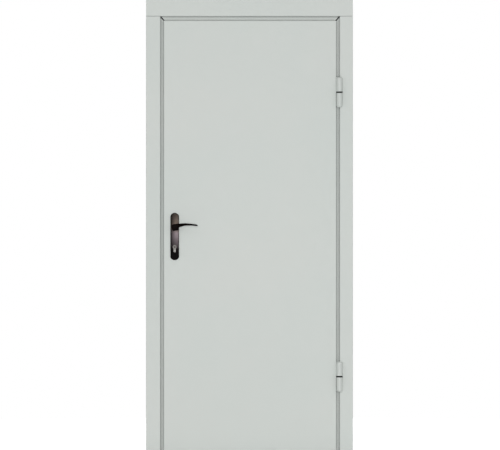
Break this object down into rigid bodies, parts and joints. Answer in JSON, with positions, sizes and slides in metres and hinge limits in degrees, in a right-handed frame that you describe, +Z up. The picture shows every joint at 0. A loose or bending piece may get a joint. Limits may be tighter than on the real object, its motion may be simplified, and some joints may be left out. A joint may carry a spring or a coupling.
{
  "type": "entrance door with steel casing, lapped steel leaf and lever handle",
  "caption": "Light grey steel entrance door: lapped flush leaf on weld-on hinges in a folded steel casing, with a dark lever handle on a long plate.",
  "frame": {"origin": "middle of the casing's width and depth, in the flat underside of the threshold", "axes": "+Z up; +X towards the hinge side; -Y towards the outside, the side that the leaf opens to"},
  "size_m": [0.96, 0.1834, 2.102],
  "materials": {
    "coated_steel": "satin",
    "stainless_steel": "satin",
    "galvanised_steel": "satin",
    "hinge_steel": "satin",
    "pin_steel": "satin",
    "bearing_plastic": "matte",
    "seal_rubber": "matte",
    "honeycomb_board": "matte",
    "cylinder_brass": "satin",
    "plate_aluminium": "gloss",
    "lever_aluminium": "satin"
  },
  "bodies": {
    "casing": {"frame_head": "coated_steel", "frame_lock_jamb": "coated_steel", "frame_hinge_jamb": "coated_steel", "threshold": "stainless_steel", "corner_cleats": "galvanised_steel", "lock_side_anchors": "galvanised_steel", "hinge_side_anchors": "galvanised_steel", "strike_plate": "galvanised_steel", "lock_side_seal": "seal_rubber", "hinge_side_seal": "seal_rubber", "head_seal": "seal_rubber", "threshold_seal": "seal_rubber", "upper_hinge_frame_half": "hinge_steel", "lower_hinge_frame_half": "hinge_steel", "upper_hinge_pin": "pin_steel", "lower_hinge_pin": "pin_steel", "upper_hinge_bearing": "bearing_plastic", "lower_hinge_bearing": "bearing_plastic"},
    "leaf": {"leaf_front_skin": "coated_steel", "leaf_rear_skin": "coated_steel", "leaf_core": "honeycomb_board", "upper_hinge_leaf_half": "hinge_steel", "lower_hinge_leaf_half": "hinge_steel", "lock_faceplate": "galvanised_steel", "latch_bolt": "pin_steel", "dead_bolt": "pin_steel", "lock_cylinder": "cylinder_brass", "outside_cylinder_plug": "cylinder_brass", "inside_cylinder_plug": "cylinder_brass", "outside_backplate": "plate_aluminium", "inside_backplate": "plate_aluminium", "outside_lever_collar": "lever_aluminium", "inside_lever_collar": "lever_aluminium"},
    "levers": {"outside_lever": "lever_aluminium", "inside_lever": "lever_aluminium", "lever_spindle": "pin_steel"}
  },
  "joints": [
    {"name": "leaf_hinge", "type": "hinge", "parent": "casing", "child": "leaf", "pos_m": [0.4173, -0.055, 1.01], "axis": [0, 0, 1], "range_deg": [0, 170]},
    {"name": "lever_turn", "type": "hinge", "parent": "leaf", "child": "levers", "pos_m": [-0.347, -0.04, 1.0444], "axis": [0, 1, 0], "range_deg": [0, 40], "stiffness_Nm_per_rad": 1.2, "springref_deg": -34.38}
  ]
}
